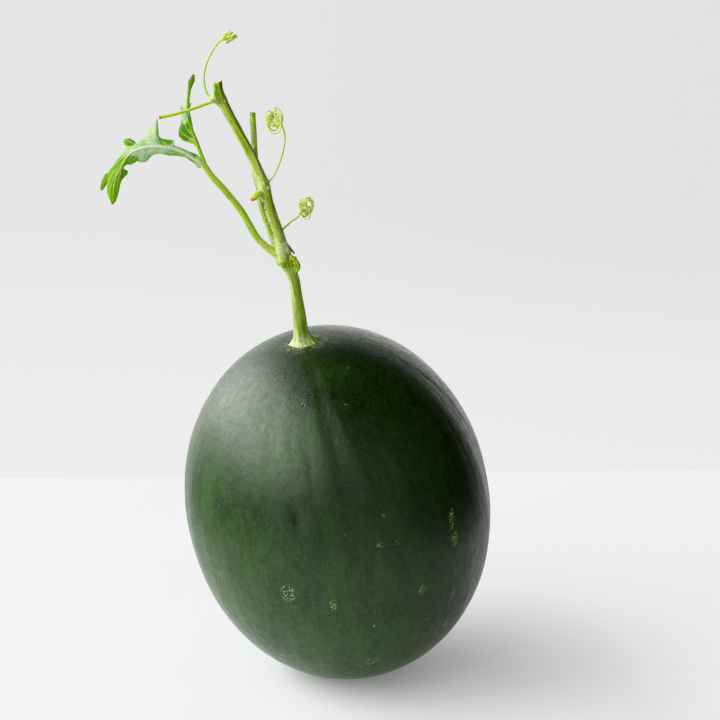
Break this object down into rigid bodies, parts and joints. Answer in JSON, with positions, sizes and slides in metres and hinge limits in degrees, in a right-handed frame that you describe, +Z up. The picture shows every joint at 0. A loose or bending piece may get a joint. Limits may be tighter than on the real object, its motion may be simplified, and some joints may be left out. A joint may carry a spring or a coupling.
{
  "type": "watermelon with a piece of vine",
  "caption": "Small round dark green watermelon standing on its blossom end, with a cut length of vine, a lobed leaf and curled tendrils on its stalk.",
  "frame": {"origin": "middle of the flat spot that the fruit rests on, straight under the middle of the fruit", "axes": "+Z up along the standing height, -Y towards the side seen in the picture, -X towards the side that the vine leans to"},
  "size_m": [0.2224, 0.1812, 0.3856],
  "materials": {
    "rind": "smooth hard melon rind, very dark green, satin and a little waxy, with faint mottling and small pale specks",
    "stalk": "ridged fresh green fruit stalk, paler at its foot, satin",
    "stem": "fresh light green vine stem covered in fine pale hairs",
    "leaf": "thin leaf, bright green above with pale veins, grey green below",
    "tendril": "thin yellow green tendril, slightly see-through",
    "bract": "small yellow green leaf scale with a reddish tip",
    "dry_scale": "dry brown leaf scale",
    "withered": "withered yellow green flower bud"
  },
  "bodies": {
    "root": {"fruit": "rind", "fruit_stalk": "stalk", "vine": "stem", "cut_petiole": "stem", "leaf_petiole": "stem", "bare_petiole": "stem", "leaf_blade": "leaf", "tendril_top": "tendril", "tendril_middle": "tendril", "tendril_low": "tendril", "bract": "bract", "knot_scale": "dry_scale", "withered_flower": "withered"}
  },
  "joints": []
}
